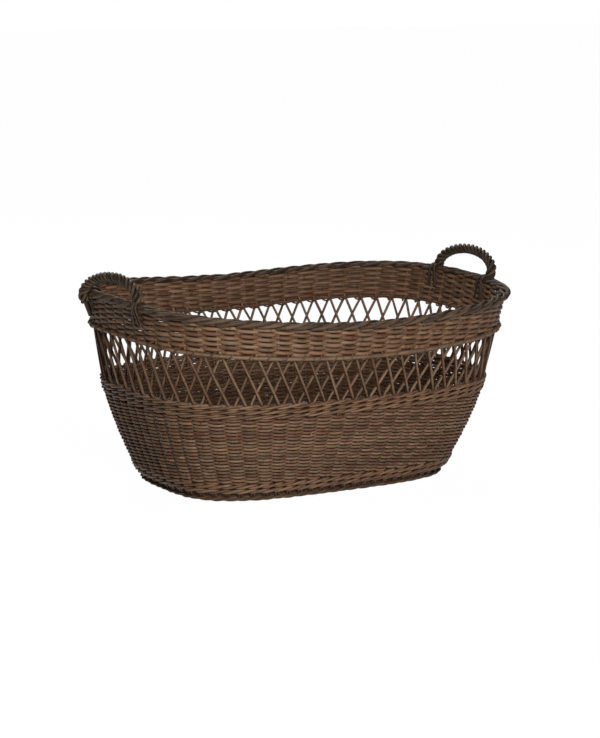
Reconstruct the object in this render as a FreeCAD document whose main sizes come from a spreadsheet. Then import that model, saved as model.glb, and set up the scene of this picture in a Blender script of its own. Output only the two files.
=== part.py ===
import FreeCAD, Part
import math
import os

# Oval wicker laundry basket: woven base, randed lower wall, belt of waling, openwork band of
# crossed stakes, upper band, rolled rim border and two roped end handles.
# Millimetres, +Z up.  The origin is at the middle of the foot, on the surface it stands on.
# +X runs along the basket to its right end, +Y across it.

SIZES = {
    # the rim's oval, to the middle of the wall, and how far each lower oval stands inside it
    "rim_half_length": 392, "rim_half_width": 290,
    "hoop_inset_length": 16, "hoop_inset_width": 13,
    "belt_inset_length": 29, "belt_inset_width": 37,
    "foot_inset_length": 104, "foot_inset_width": 123,
    "rim_height": 360, "upper_band_height": 49.9, "open_band_height": 92,
    "wall_squareness": 3.0, "foot_squareness": 3.4,
    "wall_bulge": 1.3, "rim_saddle": 12.5,
    # stakes and weavers
    "station_count": 68, "stake_diameter": 5.2, "stake_gap": 0.3, "layer_clearance": 0.4,
    "stake_end_gap": 1.6, "bend_room": 5, "crossing_gap": 0.4, "lean_stations": 1.5,
    "fine_weave": 3.5, "thick_weave": 4.5,
    "upsett_rod": 4.8, "upsett_rounds": 2,
    "belt_rod": 6.5, "belt_rounds": 2,
    "hoop_rod_diameter": 8, "fitch_rod": 5, "slit_height": 2.8,
    "border_width": 21, "border_thickness": 13, "border_bulge": 4,
    "foot_width": 17, "foot_thickness": 9, "foot_bulge": 2.5, "foot_recess": 8,
    "seat_gap": 0.3,
    # base
    "base_thickness": 12, "base_margin": 9, "base_clearance": 0.9,
    "cross_stick_count": 9, "cross_stick_width": 12, "cross_stick_thickness": 7,
    "cross_stick_end_room": 71.71,
    "long_stick_count": 3, "long_stick_width": 9, "long_stick_thickness": 3.4,
    "long_stick_spacing": 20,
    # handles
    "bow_diameter": 9, "rope_diameter": 17, "bow_rise": 42,
    "left_bow_stations": 2.8, "right_bow_stations": 2.2,
    "bow_neck": 6, "bow_depth": 42, "rope_gap": 2.3, "bow_lean": 10,
    "lashing_rod": 4.6, "lashing_reach": 30, "lashing_spread": 12, "bore_clearance": 0.3,
}

RING_POINTS = 72      # corners of a rod bent round the whole oval, before its arcs
SKIN_POINTS = 72      # points that each edge of a woven band is drawn through
TABLE_STEPS = 1440    # steps of the table that spaces stations evenly round an oval

doc = FreeCAD.newDocument("wicker_basket")
sheet = doc.addObject("Spreadsheet::Sheet", "Sizes")
for row, (alias, value) in enumerate(SIZES.items(), start=1):
    sheet.set("A%d" % row, alias)
    sheet.set("B%d" % row, str(value))
    sheet.setAlias("B%d" % row, alias)
doc.recompute()


def size(alias):
    """The value of a named cell."""
    return float(sheet.get(alias))


def count(alias):
    """The value of a named cell that counts pieces."""
    return int(round(size(alias)))


# ---------------------------------------------------------------- levels that follow each other

seat = size("seat_gap")
stake_gap_width = size("stake_diameter") + 2 * size("layer_clearance")
border_low = size("rim_height") - size("border_thickness")
band_high = border_low - seat
band_low = band_high - size("upper_band_height")
hoop = band_low - size("slit_height") - size("hoop_rod_diameter") / 2
belt = hoop - size("open_band_height")
belt_low = belt - count("belt_rounds") * 2 * (size("belt_rod") + seat)
upsett_low = size("foot_thickness") + size("foot_recess")
siding_low = upsett_low + count("upsett_rounds") * 2 * (size("upsett_rod") + seat)

# ---------------------------------------------------------------- the wall

def level_sizes(level):
    """Half length and half width of the oval of the foot, belt, hoop or rim."""
    sizes = [size("rim_half_length"), size("rim_half_width")]
    if level != "rim":
        sizes[0] -= size(level + "_inset_length")
        sizes[1] -= size(level + "_inset_width")
    return sizes


def wall_oval(height):
    """Half length, half width and squareness of the wall's middle at a height."""
    if height <= belt:
        share = 1 - (1 - max(height, 0) / belt) ** size("wall_bulge")
        low, high = "foot", "belt"
        squareness = size("foot_squareness")
        squareness += (size("wall_squareness") - squareness) * share
    else:
        squareness = size("wall_squareness")
        if height <= hoop:
            share = (height - belt) / (hoop - belt)
            low, high = "belt", "hoop"
        else:
            share = (height - hoop) / (size("rim_height") - hoop)
            low, high = "hoop", "rim"
    length, width = [first + (second - first) * share
                     for first, second in zip(level_sizes(low), level_sizes(high))]
    return length, width, squareness


def oval_point(oval, angle):
    """The point of a squarish oval in a direction seen from its middle."""
    length, width, power = oval
    reach = abs(math.cos(angle) / length) ** power + abs(math.sin(angle) / width) ** power
    radius = reach ** (-1 / power)
    return radius * math.cos(angle), radius * math.sin(angle)


TABLES = {}


def even_angle(oval, turn):
    """The direction at which a share of the oval's length has been walked, from its +X end."""
    if oval not in TABLES:
        angles = [2 * math.pi * step / TABLE_STEPS for step in range(TABLE_STEPS + 1)]
        points = [oval_point(oval, angle) for angle in angles]
        walked = [0.0]
        for first, second in zip(points, points[1:]):
            walked.append(walked[-1] + math.dist(first, second))
        TABLES[oval] = (angles, walked)
    angles, walked = TABLES[oval]
    wanted = (turn % 1.0) * walked[-1]
    low, high = 0, TABLE_STEPS
    while high - low > 1:
        middle = (low + high) // 2
        if walked[middle] <= wanted:
            low = middle
        else:
            high = middle
    share = (wanted - walked[low]) / (walked[high] - walked[low])
    return angles[low] + (angles[high] - angles[low]) * share


def oval_length(oval):
    """The distance once round an oval."""
    even_angle(oval, 0)
    return TABLES[oval][1][-1]


def saddle_lift(height, angle):
    """How far the wall rises at the ends and dips at the sides, which grows up to the rim."""
    share = (height - belt) / (size("rim_height") - belt)
    share = min(max(share, 0), 1)
    return size("rim_saddle") * (1 - (1 - share) ** 2) * math.cos(2 * angle)


def wall_point(turn, height, outward=0.0, sideways=0.0, oval=None):
    """A point of the wall: turn is the share of the way round, outward and sideways are
    distances square to the sloping wall and level along it.  A given oval stands upright."""
    upright = oval is not None
    oval = oval or wall_oval(height)
    length, width, power = oval
    angle = even_angle(oval, turn)
    x, y = oval_point(oval, angle)
    normal_x = math.copysign(abs(x / length) ** (power - 1) / length, x)
    normal_y = math.copysign(abs(y / width) ** (power - 1) / width, y)
    scale = math.hypot(normal_x, normal_y)
    normal_x /= scale
    normal_y /= scale
    if not upright:
        above = oval_point(wall_oval(height + 1), angle)
        below = oval_point(wall_oval(height - 1), angle)
        slope = ((above[0] - below[0]) * normal_x + (above[1] - below[1]) * normal_y) / 2
        outward *= math.hypot(1, slope)
    return FreeCAD.Vector(
        x + outward * normal_x - sideways * normal_y,
        y + outward * normal_y + sideways * normal_x,
        height + saddle_lift(height, angle))


# ---------------------------------------------------------------- rods and bands

def rounded_path(points, closed=False):
    """Straight runs between points, joined by tangent arcs as large as the runs allow."""
    total = len(points)
    corners = range(total) if closed else range(1, total - 1)
    cuts = {}
    for index in corners:
        here = points[index]
        before = points[index - 1] - here
        after = points[(index + 1) % total] - here
        reach = 0.45 * min(before.Length, after.Length)
        before.normalize()
        after.normalize()
        start = here + before * reach
        end = here + after * reach
        half_turn = (math.pi - before.getAngle(after)) / 2
        bisector = (before + after).normalize()
        radius = reach / math.tan(half_turn)
        middle = here + bisector * (radius / math.cos(half_turn) - radius)
        cuts[index] = (start, middle, end)
    edges = []
    last = points[0] if not closed else cuts[0][2]
    order = list(corners) if not closed else list(range(1, total)) + [0]
    for index in order:
        start, middle, end = cuts[index]
        edges.append(Part.LineSegment(last, start).toShape())
        edges.append(Part.Arc(start, middle, end).toShape())
        last = end
    if not closed:
        edges.append(Part.LineSegment(last, points[-1]).toShape())
    return Part.Wire(edges)


def bent_rod(points, diameter, closed=False):
    """A round rod bent along a path, with its volume compared with section times length."""
    path = rounded_path(points, closed)
    first = path.OrderedEdges[0]
    direction = first.tangentAt(first.FirstParameter)
    ring = Part.Circle(first.valueAt(first.FirstParameter), direction, diameter / 2)
    sweep = Part.BRepOffsetAPI.MakePipeShell(path)
    if closed:
        sweep.setBiNormalMode(FreeCAD.Vector(0, 0, 1))
    else:
        sweep.setFrenetMode(False)
    sweep.add(Part.Wire([ring.toShape()]))
    sweep.build()
    sweep.makeSolid()
    rod = sweep.shape()
    expected = path.Length * math.pi * diameter ** 2 / 4
    if abs(rod.Volume / expected - 1) > 0.01:
        raise RuntimeError("a rod's volume is %.0f and should be %.0f" % (rod.Volume, expected))
    return rod


def filled_out(points, closed=False):
    """Moves each inner point out by a quarter of its height over its neighbours' chord, so that
    the arcs and runs between the points follow the curve that the points lie on."""
    total = len(points)
    moved = []
    for index, here in enumerate(points):
        if closed or 0 < index < total - 1:
            chord = (points[index - 1] + points[(index + 1) % total]) * 0.5
            here = here + (here - chord) * 0.25
        moved.append(here)
    return moved


def ring_rod(height, outward, diameter):
    """A rod bent once round the wall at a height."""
    points = [wall_point(index / RING_POINTS, height, outward) for index in range(RING_POINTS)]
    return bent_rod(filled_out(points, closed=True), diameter, closed=True)


def oval_wire(height, outward, oval=None):
    """A closed smooth curve round the wall at a height."""
    points = [wall_point(index / SKIN_POINTS, height, outward, oval=oval)
              for index in range(SKIN_POINTS)]
    curve = Part.BSplineCurve()
    curve.interpolate(Points=points, PeriodicFlag=True)
    return Part.Wire([curve.toShape()])


def band(outer, inner):
    """A closed band of wall from its outer and inner curves, each listed from the bottom up."""
    faces = []
    for wires in (outer, inner):
        faces.extend(Part.makeLoft(wires, False, False).Faces)
    for place in (0, -1):
        level = outer[place].BoundBox
        if level.ZLength < 0.01:
            flat = Part.makeFace([outer[place], inner[place]], "Part::FaceMakerBullseye")
            faces.extend(flat.Faces)
        else:
            rim = Part.makeRuledSurface(outer[place].Edges[0], inner[place].Edges[0])
            faces.extend(rim.Faces)
    shell = Part.makeShell(faces)
    shell.sewShape()
    solid = Part.makeSolid(shell)
    if solid.Volume < 0:
        solid.reverse()
    return solid


def weave_layers(low, high, gap, thickness, levels):
    """The outer and the inner layer of a woven band, with the stakes' gap between them."""
    heights = [low + (high - low) * index / (levels - 1) for index in range(levels)]
    near = gap / 2
    far = near + thickness
    outer_layer = band([oval_wire(z, far) for z in heights], [oval_wire(z, near) for z in heights])
    inner_layer = band([oval_wire(z, -near) for z in heights], [oval_wire(z, -far) for z in heights])
    return [outer_layer, inner_layer]


def add_piece(label, shapes):
    """Adds a sub-part made of one solid or of several alike."""
    piece = doc.addObject("Part::Feature", label)
    piece.Label = label
    piece.Shape = shapes[0] if len(shapes) == 1 else Part.makeCompound(shapes)
    piece.Placement = FreeCAD.Placement()
    return piece


# ---------------------------------------------------------------- waling

def wale_rounds(low, rod, rounds):
    """Rounds of three-rod waling.  At any place two of a round's rods lie one above the other
    outside the stakes and the third lies inside them."""
    reach = stake_gap_width / 2 + rod / 2
    solids = []
    for index in range(rounds):
        base = low + 2 * (rod + seat) * index
        heights = (base + rod / 2, base + rod * 1.5 + seat)
        solids.append([ring_rod(heights[0], reach, rod), ring_rod(heights[1], reach, rod),
                       ring_rod(sum(heights) / 2, -reach, rod)])
    return solids


# ---------------------------------------------------------------- base

base_low = size("foot_thickness") + seat
base_high = base_low + size("base_thickness")
base_middle = (base_low + base_high) / 2
base_inset = stake_gap_width / 2 + size("upsett_rod") + size("base_clearance")
base_oval = wall_oval(upsett_low + size("upsett_rod") / 2)


def base_reach(across, along_x):
    """Half the base's extent along one axis at a distance from the other."""
    length, width, power = base_oval
    length -= base_inset + size("base_margin")
    width -= base_inset + size("base_margin")
    if along_x:
        return length * (1 - (abs(across) / width) ** power) ** (1 / power)
    return width * (1 - (abs(across) / length) ** power) ** (1 / power)


def stick(name, half_length, offset, wide, thick, along_x):
    """One straight base stick, its width and thickness bound to the sheet."""
    box = doc.addObject("Part::Box", name)
    box.setExpression("Height", "Sizes." + thick)
    if along_x:
        box.Length = 2 * half_length
        box.setExpression("Width", "Sizes." + wide)
        corner = (-half_length, offset - size(wide) / 2)
    else:
        box.setExpression("Length", "Sizes." + wide)
        box.Width = 2 * half_length
        corner = (offset - size(wide) / 2, -half_length)
    box.Placement.Base = FreeCAD.Vector(*corner, base_middle - size(thick) / 2)
    return box


def centred(total, spacing):
    """Offsets of evenly spaced pieces about the middle."""
    return [(index - (total - 1) / 2) * spacing for index in range(total)]


cross_count = count("cross_stick_count")
cross_span = 2 * (base_oval[0] - base_inset - size("base_margin") - size("cross_stick_end_room"))
cross_sticks = []
for number, offset in enumerate(centred(cross_count, cross_span / (cross_count - 1))):
    cross_sticks.append(stick("CrossStick%d" % number, base_reach(offset, False), offset,
                              "cross_stick_width", "cross_stick_thickness", False))
long_sticks = []
for number, offset in enumerate(centred(count("long_stick_count"), size("long_stick_spacing"))):
    long_sticks.append(stick("LongStick%d" % number, base_reach(offset, True), offset,
                             "long_stick_width", "long_stick_thickness", True))
doc.recompute()

long_group = doc.addObject("Part::Compound", "LongSticks")
long_group.Label = "base_long_sticks"
long_group.Links = long_sticks
doc.recompute()


def eased(box, gap):
    """A box with a gap added on every side."""
    bounds = box.Shape.BoundBox
    corner = FreeCAD.Vector(bounds.XMin - gap, bounds.YMin - gap, bounds.ZMin - gap)
    return Part.makeBox(bounds.XLength + 2 * gap, bounds.YLength + 2 * gap,
                        bounds.ZLength + 2 * gap, corner)


slit_tool = doc.addObject("Part::Feature", "SlitTool")
slit_tool.Shape = Part.makeCompound([eased(box, size("bore_clearance")) for box in long_sticks])
cross_group = doc.addObject("Part::Compound", "CrossSticks")
cross_group.Links = cross_sticks
slit_cut = doc.addObject("Part::Cut", "SlitCrossSticks")
slit_cut.Label = "base_cross_sticks"
slit_cut.Base = cross_group
slit_cut.Tool = slit_tool
doc.recompute()

base_edge = oval_wire(0, -base_inset, oval=base_oval)
base_plate = Part.Face(base_edge).extrude(FreeCAD.Vector(0, 0, size("base_thickness")))
base_plate.translate(FreeCAD.Vector(0, 0, base_low))
tunnels = [eased(box, size("bore_clearance")) for box in cross_sticks + long_sticks]
base_plate = base_plate.cut(tunnels)

# ---------------------------------------------------------------- woven wall

foot_oval = wall_oval(0)
foot_half = size("foot_width") / 2
foot_edge = foot_half - size("foot_bulge")
foot_levels = [(0, foot_edge), (size("foot_thickness") / 2, foot_half),
               (size("foot_thickness"), foot_edge)]
foot_border = band([oval_wire(z, out, foot_oval) for z, out in foot_levels],
                   [oval_wire(z, -out, foot_oval) for z, out in foot_levels])

upsett = wale_rounds(upsett_low, size("upsett_rod"), count("upsett_rounds"))
lower_siding = weave_layers(siding_low, belt_low - seat, stake_gap_width, size("fine_weave"), 7)
belt_wale = wale_rounds(belt_low, size("belt_rod"), count("belt_rounds"))
hoop_reach = stake_gap_width / 2 + size("hoop_rod_diameter") / 2
hoop_rod = ring_rod(hoop, hoop_reach, size("hoop_rod_diameter"))
fitch_reach = stake_gap_width / 2 + size("fitch_rod") / 2
fitching = ring_rod(hoop, -fitch_reach, size("fitch_rod"))
upper_siding = weave_layers(band_low, band_high, stake_gap_width, size("thick_weave"), 3)

border_half = size("border_width") / 2
border_edge = border_half - size("border_bulge")
border_levels = [(border_low, border_edge),
                 (border_low + size("border_thickness") / 2, border_half),
                 (size("rim_height"), border_edge)]
rim_border = band([oval_wire(z, out) for z, out in border_levels],
                  [oval_wire(z, -out) for z, out in border_levels])


def stake(station, lean):
    """One stake.  It stands beside its partner in the lower wall, leans to one side across the
    open band and stands beside a new partner in the upper band.  lean is +1 for the stakes that
    pass inside the others and -1 for those that pass outside."""
    stations = count("station_count")
    moved = lean * size("lean_stations")
    beside = (size("stake_diameter") + size("stake_gap")) / 2
    start = size("foot_thickness") + size("stake_end_gap")
    rises = 4
    wall = []
    for index in range(rises + 1):
        height = start + (belt_low - start) * index / rises
        wall.append(wall_point(station / stations, height, 0, lean * beside))
    points = filled_out(wall)
    open_low = belt + size("bend_room")
    open_high = hoop - size("hoop_rod_diameter") / 2 - size("bend_room")
    points.append(wall_point(station / stations, open_low, 0, lean * beside))
    for share in (1 / 3, 2 / 3):
        turn = (station + moved * share) / stations
        height = open_low + (open_high - open_low) * share
        points.append(wall_point(turn, height, -lean * (beside + size("crossing_gap") / 2), 0))
    turn = (station + moved) / stations
    for height in (open_high, band_low, band_high - size("stake_end_gap")):
        points.append(wall_point(turn, height, 0, -lean * beside))
    return bent_rod(points, size("stake_diameter"))


stakes = {}
for name, lean in (("stakes_leaning_right", 1), ("stakes_leaning_left", -1)):
    stakes[name] = [stake(station, lean) for station in range(count("station_count"))]

# ---------------------------------------------------------------- handles

def leg_turns(side):
    """The turns at which a handle's two legs stand.  side is +1 at the right end."""
    middle, name = (0, "right") if side > 0 else (0.5, "left")
    reach = size(name + "_bow_stations") / count("station_count")
    return [middle - reach, middle + reach]


def bow_points(side):
    """The path of a handle's bow: down in the upper band, up through the border beside it, over
    a half ellipse that leans outward, and down again.  side is +1 at the right end."""
    roots = [wall_point(turn, border_low - size("bow_depth")) for turn in leg_turns(side)]
    knees = [wall_point(turn, size("rim_height")) for turn in leg_turns(side)]
    neck = size("bow_neck")
    centre = (knees[0] + knees[1]) * 0.5 + FreeCAD.Vector(0, 0, neck)
    across = (knees[0] - knees[1]) * 0.5
    rise = FreeCAD.Vector(side * size("bow_lean"), 0, size("bow_rise") - neck)
    arch = [centre + across * math.cos(angle) + rise * math.sin(angle)
            for angle in [math.radians(step) for step in (0, 25, 55, 90, 125, 155, 180)]]
    return [roots[0]] + filled_out(arch) + [roots[1]]


def trimmed(points, gap):
    """A bow's path cut off at its two ends, a gap above the rim border."""
    ends = []
    for root, knee in ((points[0], points[1]), (points[-1], points[-2])):
        share = (knee.z - size("bow_neck") + gap - root.z) / (knee.z - root.z)
        ends.append(root + (knee - root) * share)
    return ends[:1] + points[1:-1] + ends[1:]


def lashing_points(turn, sideways):
    """A staple of rod over the rim border, from inside the upper band to outside it."""
    rod = size("lashing_rod")
    clear = border_half + rod / 2 + seat
    weave = stake_gap_width / 2 + size("thick_weave") + rod / 2 + seat
    low = border_low - size("lashing_reach")
    top = size("rim_height") + rod / 2 + seat
    route = [(low, -weave), (border_low - rod, -weave), (border_low + rod, -clear), (top, -clear),
             (top, clear), (border_low + rod, clear), (border_low - rod, weave), (low, weave)]
    return [wall_point(turn, height, out, sideways) for height, out in route]


handles = {}
bores = []
for name, side in (("left_handle", -1), ("right_handle", 1)):
    points = bow_points(side)
    bow = bent_rod(points, size("bow_diameter"))
    bore = bent_rod(points, size("bow_diameter") + 2 * size("bore_clearance"))
    rope = bent_rod(trimmed(points, size("rope_gap")), size("rope_diameter")).cut(bore)
    bores.append(bore)
    handles[name + "_bow"] = [bow]
    handles[name + "_wrap"] = rope.Solids
    staples = []
    for turn in leg_turns(side):
        for beside in (-1, 1):
            staples.append(bent_rod(lashing_points(turn, beside * size("lashing_spread")),
                                    size("lashing_rod")))
    handles[name + "_lashings"] = staples

rim_border = rim_border.cut(bores)
upper_siding = [layer.cut(bores) for layer in upper_siding]

# ---------------------------------------------------------------- the document's sub-parts

pieces = [slit_cut, long_group]
pieces.append(add_piece("base_weave", base_plate.Solids))
pieces.append(add_piece("foot_border", [foot_border]))
for number, solids in enumerate(upsett, start=1):
    pieces.append(add_piece("upsett_wale_round_%d" % number, solids))
pieces.append(add_piece("lower_siding", lower_siding))
for number, solids in enumerate(belt_wale, start=1):
    pieces.append(add_piece("belt_wale_round_%d" % number, solids))
for name, solids in stakes.items():
    pieces.append(add_piece(name, solids))
pieces.append(add_piece("hoop_rod", [hoop_rod]))
pieces.append(add_piece("fitching_weaver", [fitching]))
pieces.append(add_piece("upper_siding", [solid for layer in upper_siding for solid in layer.Solids]))
pieces.append(add_piece("rim_border", rim_border.Solids))
for name, solids in handles.items():
    pieces.append(add_piece(name, solids))
doc.recompute()

for item in doc.Objects:
    if "Invalid" in item.State or "Error" in item.State:
        raise RuntimeError("%s did not build" % item.Label)
for piece in pieces:
    if piece.Shape.isNull() or not piece.Shape.isValid():
        raise RuntimeError("%s has no valid shape" % piece.Label)

os.makedirs("parts", exist_ok=True)
for piece in pieces:
    piece.Shape.exportStep("parts/%s.step" % piece.Label)
    bounds = piece.Shape.BoundBox
    print("%-24s solids %3d  volume %9.0f  z %6.1f to %6.1f"
          % (piece.Label, len(piece.Shape.Solids), piece.Shape.Volume, bounds.ZMin, bounds.ZMax))
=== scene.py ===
"""Oval wicker laundry basket, dressed round its CAD frame.

Every piece is a set of willow rods laid on one surface, the basket's oval wall.  The wall's sizes
are read from the frame, and each rod is a round profile carried along a path worked out on it.
Lengths are metres, +X runs to the basket's right end, +Y across it and +Z up.
"""
from __future__ import annotations

import logging
import math
from dataclasses import dataclass
from enum import Enum
from functools import cached_property
from typing import Any, Sequence

import bpy
import numpy as np
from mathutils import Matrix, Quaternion, Vector

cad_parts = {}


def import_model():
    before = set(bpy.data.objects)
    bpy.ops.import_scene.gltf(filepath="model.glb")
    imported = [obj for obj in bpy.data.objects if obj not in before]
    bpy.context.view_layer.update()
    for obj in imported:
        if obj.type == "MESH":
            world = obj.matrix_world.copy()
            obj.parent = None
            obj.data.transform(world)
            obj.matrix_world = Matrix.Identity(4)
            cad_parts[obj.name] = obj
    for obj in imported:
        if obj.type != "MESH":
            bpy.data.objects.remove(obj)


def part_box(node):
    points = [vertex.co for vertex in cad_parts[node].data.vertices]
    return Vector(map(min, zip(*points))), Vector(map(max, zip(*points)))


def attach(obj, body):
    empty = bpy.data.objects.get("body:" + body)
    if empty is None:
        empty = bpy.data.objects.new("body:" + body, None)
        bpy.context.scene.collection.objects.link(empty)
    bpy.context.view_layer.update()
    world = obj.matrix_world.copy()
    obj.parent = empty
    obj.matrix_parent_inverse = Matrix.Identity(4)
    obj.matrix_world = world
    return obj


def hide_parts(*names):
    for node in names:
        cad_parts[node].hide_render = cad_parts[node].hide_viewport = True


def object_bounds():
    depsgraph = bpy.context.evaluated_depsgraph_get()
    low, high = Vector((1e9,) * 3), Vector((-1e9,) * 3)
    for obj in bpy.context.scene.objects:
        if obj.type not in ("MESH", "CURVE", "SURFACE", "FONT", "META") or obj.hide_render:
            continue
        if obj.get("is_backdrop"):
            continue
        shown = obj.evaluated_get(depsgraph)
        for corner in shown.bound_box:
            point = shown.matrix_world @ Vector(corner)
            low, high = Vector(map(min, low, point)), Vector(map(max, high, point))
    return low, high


LOG = logging.getLogger("basket")
BODY = "root"
STATIONS = 68
STAKE_DIAMETER = 0.0052
STAKE_ROOM = 0.006                    # thickness of the wall's slot for the stakes
SEAT = 0.0003
FOOT_WIDTH = 0.017
BORDER_WIDTH = 0.021
BORDER_HALF_HEIGHT = 0.0065
BORDER_BULGE = 0.0011                 # how far the border's ends stand in from its box
BELT_ROD = 0.0065
HOOP_ROD = 0.0082

Array = np.ndarray
Colour = tuple[float, float, float, float]
UP = np.array([0.0, 0.0, 1.0])


class Slot(Enum):
    """The record's material slots."""

    WOVEN = "woven_willow"
    STAKE = "stake_willow"
    HANDLE = "handle_willow"


# ---------------------------------------------------------------- arrays


def smooth_noise(rng: np.random.Generator, rows: int, steps: int, knots: int,
                 closed: bool = True) -> Array:
    """Random values between -1 and 1 that change smoothly along each row.

    Formula: values at evenly spaced knots, joined by half cosine waves.

    Args:
        rng: the seeded source of chance.
        rows: how many independent rows.
        steps: samples along a row.
        knots: changes along a row.
        closed: whether a row's end meets its start.

    Returns:
        An array of rows by steps.
    """
    values = rng.uniform(-1, 1, (rows, knots + 1))
    if closed:
        values[:, -1] = values[:, 0]
    place = np.arange(steps) / (steps if closed else steps - 1) * knots
    first = np.minimum(place.astype(int), knots - 1)
    share = 0.5 - 0.5 * np.cos(np.pi * (place - first))
    return values[:, first] * (1 - share) + values[:, first + 1] * share


def pieced_tones(rng: np.random.Generator, rows: int, steps: int, lengths: int) -> Array:
    """One tone for each length of rod where shorter rods are joined end to end.

    Formula: each row is cut at random places into lengths, and each length has one random value.

    Args:
        rng: the seeded source of chance.
        rows: how many rows of weaving.
        steps: samples along a row.
        lengths: rods in a row.

    Returns:
        Tones from 0 to 1, rows by steps.
    """
    values = rng.uniform(0, 1, (rows, lengths))
    start = rng.uniform(0, 1, (rows, 1))
    place = (np.arange(steps)[None, :] / steps + start) % 1.0
    index = np.minimum((place * lengths).astype(int), lengths - 1)
    return np.take_along_axis(values, index, axis=1)


def unit(vectors: Array) -> Array:
    """Vectors of length one in the same directions."""
    return vectors / np.maximum(np.linalg.norm(vectors, axis=-1, keepdims=True), 1e-12)


def ease(share: Array) -> Array:
    """A smooth step from 0 to 1: three times the square less twice the cube."""
    share = np.clip(share, 0, 1)
    return share * share * (3 - 2 * share)


def oval_reach(length: Array, width: Array, power: Array, angle: Array) -> Array:
    """How far a squarish oval reaches from its middle.

    Formula: (|cos / length| ** power + |sin / width| ** power) ** (-1 / power).

    Args:
        length: half lengths.
        width: half widths.
        power: 2 for an ellipse, and more for squarer ovals.
        angle: directions in radians, 0 along the length.

    Returns:
        The reach in each direction.
    """
    return (np.abs(np.cos(angle) / length) ** power
            + np.abs(np.sin(angle) / width) ** power) ** (-1 / power)


# ---------------------------------------------------------------- the wall


@dataclass(frozen=True)
class Level:
    """One oval of the wall: its height and its half sizes, to the middle of the wall."""

    height: float
    half_length: float
    half_width: float


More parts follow.
